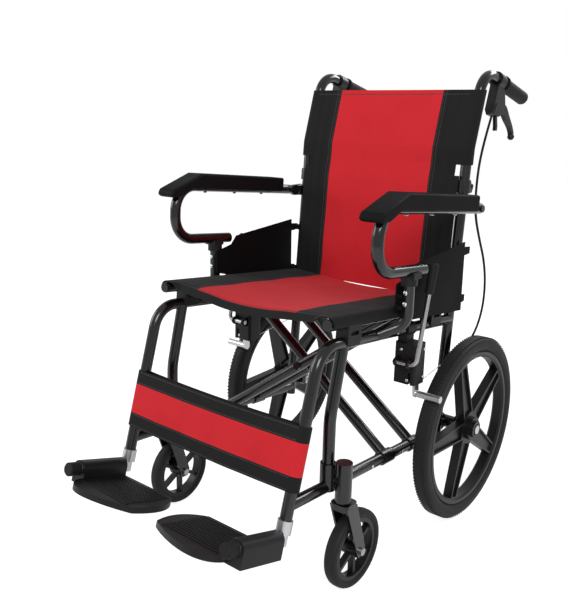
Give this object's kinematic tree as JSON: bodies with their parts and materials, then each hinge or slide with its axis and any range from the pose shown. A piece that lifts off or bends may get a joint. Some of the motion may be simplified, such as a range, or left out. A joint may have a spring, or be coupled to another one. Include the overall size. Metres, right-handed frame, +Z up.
{
  "type": "transport wheelchair",
  "caption": "Folding transport wheelchair with sling seat, half-folding back, lift-up armrests, footplates, casters and attendant hand brakes.",
  "frame": {"origin": "on the floor under the middle of the chair", "axes": "+X to the sitter's left, +Y to the rear, +Z up"},
  "size_m": [0.57, 0.9733, 0.9467],
  "materials": {
    "black_tube": "gloss",
    "zinc": "satin",
    "steel": "satin",
    "black_plastic": "matte",
    "gloss_black": "satin",
    "black_rubber": "matte",
    "tyre": "matte",
    "red_fabric": "woven",
    "pad_foam": "leathery"
  },
  "bodies": {
    "left_frame": {"side_frame_left": "black_tube", "seat_saddles_left": "black_plastic", "armrest_socket_left": "black_plastic", "skirt_guard_left": "black_plastic", "rear_axle_left": "zinc", "footrest_bracket_left": "zinc", "footrest_cap_left": "black_rubber", "park_brake_body_left": "black_plastic", "brake_cable_left": "black_rubber", "back_cloth_lower": "red_fabric", "calf_strap": "red_fabric"},
    "upper_back_left": {"upper_cane_left": "black_tube", "push_grip_left": "black_rubber", "brake_perch_left": "gloss_black", "back_cloth_upper": "red_fabric"},
    "hand_brake_left": {"brake_lever_left": "gloss_black"},
    "brake_catch_left": {"brake_catch_left": "gloss_black"},
    "back_latch_left": {"back_latch_left": "black_plastic"},
    "armrest_left": {"armrest_frame_left": "black_tube", "armrest_pad_left": "pad_foam"},
    "rear_wheel_left": {"rear_wheel_left": "gloss_black", "rear_tyre_left": "tyre"},
    "caster_left": {"caster_fork_left": "black_tube", "caster_axle_left": "steel"},
    "caster_wheel_left": {"caster_wheel_left": "gloss_black", "caster_tyre_left": "tyre"},
    "footplate_left": {"footplate_left": "black_plastic"},
    "park_lever_left": {"park_brake_lever_left": "steel", "park_brake_grip_left": "black_rubber"},
    "park_shoe_left": {"park_brake_shoe_left": "zinc"},
    "right_frame": {"side_frame_right": "black_tube", "seat_saddles_right": "black_plastic", "armrest_socket_right": "black_plastic", "skirt_guard_right": "black_plastic", "rear_axle_right": "zinc", "footrest_bracket_right": "zinc", "footrest_cap_right": "black_rubber", "park_brake_body_right": "black_plastic", "brake_cable_right": "black_rubber"},
    "upper_back_right": {"upper_cane_right": "black_tube", "push_grip_right": "black_rubber", "brake_perch_right": "gloss_black"},
    "hand_brake_right": {"brake_lever_right": "gloss_black"},
    "brake_catch_right": {"brake_catch_right": "gloss_black"},
    "back_latch_right": {"back_latch_right": "black_plastic"},
    "armrest_right": {"armrest_frame_right": "black_tube", "armrest_pad_right": "pad_foam"},
    "rear_wheel_right": {"rear_wheel_right": "gloss_black", "rear_tyre_right": "tyre"},
    "caster_right": {"caster_fork_right": "black_tube", "caster_axle_right": "steel"},
    "caster_wheel_right": {"caster_wheel_right": "gloss_black", "caster_tyre_right": "tyre"},
    "footplate_right": {"footplate_right": "black_plastic"},
    "park_lever_right": {"park_brake_lever_right": "steel", "park_brake_grip_right": "black_rubber"},
    "park_shoe_right": {"park_brake_shoe_right": "zinc"},
    "first_brace": {"brace_first": "black_tube", "seat_cloth": "red_fabric"},
    "second_brace": {"brace_second": "black_tube"}
  },
  "joints": [
    {"name": "fold", "type": "hinge", "parent": "left_frame", "child": "first_brace", "pos_m": [0.205, 0.0251, 0.19483], "axis": [0, 0.9989, -0.0471], "range_deg": [0, 36], "deforming": ["seat_cloth", "back_cloth_lower", "back_cloth_upper", "calf_strap"]},
    {"name": "brace_cross", "type": "hinge", "parent": "first_brace", "child": "second_brace", "pos_m": [0, -0.006, 0.34298], "axis": [0, 0.9989, -0.0471], "range_deg": [-72, 0]},
    {"name": "right_fold", "type": "hinge", "parent": "second_brace", "child": "right_frame", "pos_m": [-0.205, 0.0251, 0.19483], "axis": [0, 0.9989, -0.0471], "range_deg": [0, 36]},
    {"name": "rear_wheel_left_spin", "type": "hinge", "parent": "left_frame", "child": "rear_wheel_left", "pos_m": [0.257, 0.2271, 0.2], "axis": [1, 0, 0], "continuous": true},
    {"name": "caster_left_swivel", "type": "hinge", "parent": "left_frame", "child": "caster_left", "pos_m": [0.236, -0.1969, 0.185], "axis": [0, 0, 1], "continuous": true},
    {"name": "caster_wheel_left_spin", "type": "hinge", "parent": "caster_left", "child": "caster_wheel_left", "pos_m": [0.236, -0.1599, 0.075], "axis": [1, 0, 0], "continuous": true},
    {"name": "armrest_left_lift", "type": "hinge", "parent": "left_frame", "child": "armrest_left", "pos_m": [0.25, 0.2051, 0.675], "axis": [-1, 0, 0], "range_deg": [0, 95]},
    {"name": "back_left_fold", "type": "hinge", "parent": "left_frame", "child": "upper_back_left", "pos_m": [0.205, 0.2541, 0.713], "axis": [-1, 0, 0], "range_deg": [0, 105], "deforming": ["brake_cable_left"]},
    {"name": "back_latch_left_turn", "type": "hinge", "parent": "left_frame", "child": "back_latch_left", "pos_m": [0.1905, 0.23247, 0.705], "axis": [-1, 0, 0], "range_deg": [0, 30]},
    {"name": "hand_brake_left_pull", "type": "hinge", "parent": "upper_back_left", "child": "hand_brake_left", "pos_m": [0.205, 0.3701, 0.87403], "axis": [1, 0, 0], "range_deg": [0, 20], "stiffness_Nm_per_rad": 0.4},
    {"name": "brake_catch_left_turn", "type": "hinge", "parent": "upper_back_left", "child": "brake_catch_left", "pos_m": [0.205, 0.3491, 0.86803], "axis": [1, 0, 0], "range_deg": [0, 15]},
    {"name": "footplate_left_flip", "type": "hinge", "parent": "left_frame", "child": "footplate_left", "pos_m": [0.205, -0.32728, 0.15581], "axis": [0, 0.9613, -0.2756], "range_deg": [0, 100]},
    {"name": "park_lever_left_turn", "type": "hinge", "parent": "left_frame", "child": "park_lever_left", "pos_m": [0.247, 0.0111, 0.388], "axis": [-1, 0, 0], "range_deg": [0, 35]},
    {"name": "park_shoe_left_turn", "type": "hinge", "parent": "left_frame", "child": "park_shoe_left", "pos_m": [0.2285, 0.0461, 0.354], "axis": [1, 0, 0], "range_deg": [0, 12]},
    {"name": "rear_wheel_right_spin", "type": "hinge", "parent": "right_frame", "child": "rear_wheel_right", "pos_m": [-0.257, 0.2271, 0.2], "axis": [1, 0, 0], "continuous": true},
    {"name": "caster_right_swivel", "type": "hinge", "parent": "right_frame", "child": "caster_right", "pos_m": [-0.236, -0.1969, 0.185], "axis": [0, 0, 1], "continuous": true},
    {"name": "caster_wheel_right_spin", "type": "hinge", "parent": "caster_right", "child": "caster_wheel_right", "pos_m": [-0.236, -0.1599, 0.075], "axis": [1, 0, 0], "continuous": true},
    {"name": "armrest_right_lift", "type": "hinge", "parent": "right_frame", "child": "armrest_right", "pos_m": [-0.25, 0.2051, 0.675], "axis": [-1, 0, 0], "range_deg": [0, 95]},
    {"name": "back_right_fold", "type": "hinge", "parent": "right_frame", "child": "upper_back_right", "pos_m": [-0.205, 0.2541, 0.713], "axis": [-1, 0, 0], "range_deg": [0, 105], "deforming": ["brake_cable_right"]},
    {"name": "back_latch_right_turn", "type": "hinge", "parent": "right_frame", "child": "back_latch_right", "pos_m": [-0.1905, 0.23247, 0.705], "axis": [-1, 0, 0], "range_deg": [0, 30]},
    {"name": "hand_brake_right_pull", "type": "hinge", "parent": "upper_back_right", "child": "hand_brake_right", "pos_m": [-0.205, 0.3701, 0.87403], "axis": [1, 0, 0], "range_deg": [0, 20], "stiffness_Nm_per_rad": 0.4},
    {"name": "brake_catch_right_turn", "type": "hinge", "parent": "upper_back_right", "child": "brake_catch_right", "pos_m": [-0.205, 0.3491, 0.86803], "axis": [1, 0, 0], "range_deg": [0, 15]},
    {"name": "footplate_right_flip", "type": "hinge", "parent": "right_frame", "child": "footplate_right", "pos_m": [-0.205, -0.32728, 0.15581], "axis": [0, -0.9613, 0.2756], "range_deg": [0, 100]},
    {"name": "park_lever_right_turn", "type": "hinge", "parent": "right_frame", "child": "park_lever_right", "pos_m": [-0.247, 0.0111, 0.388], "axis": [-1, 0, 0], "range_deg": [0, 35]},
    {"name": "park_shoe_right_turn", "type": "hinge", "parent": "right_frame", "child": "park_shoe_right", "pos_m": [-0.2285, 0.0461, 0.354], "axis": [1, 0, 0], "range_deg": [0, 12]}
  ],
  "couplings": [
    {"joint": "brace_cross", "follows": "fold", "ratio": -2},
    {"joint": "right_fold", "follows": "fold", "ratio": 1},
    {"joint": "footplate_left_flip", "follows": "fold", "ratio": 2.7778},
    {"joint": "park_shoe_left_turn", "follows": "park_lever_left_turn", "ratio": 0.34286},
    {"joint": "footplate_right_flip", "follows": "fold", "ratio": 2.7778},
    {"joint": "park_shoe_right_turn", "follows": "park_lever_right_turn", "ratio": 0.34286},
    {"joint": "back_right_fold", "follows": "back_left_fold", "ratio": 1}
  ]
}
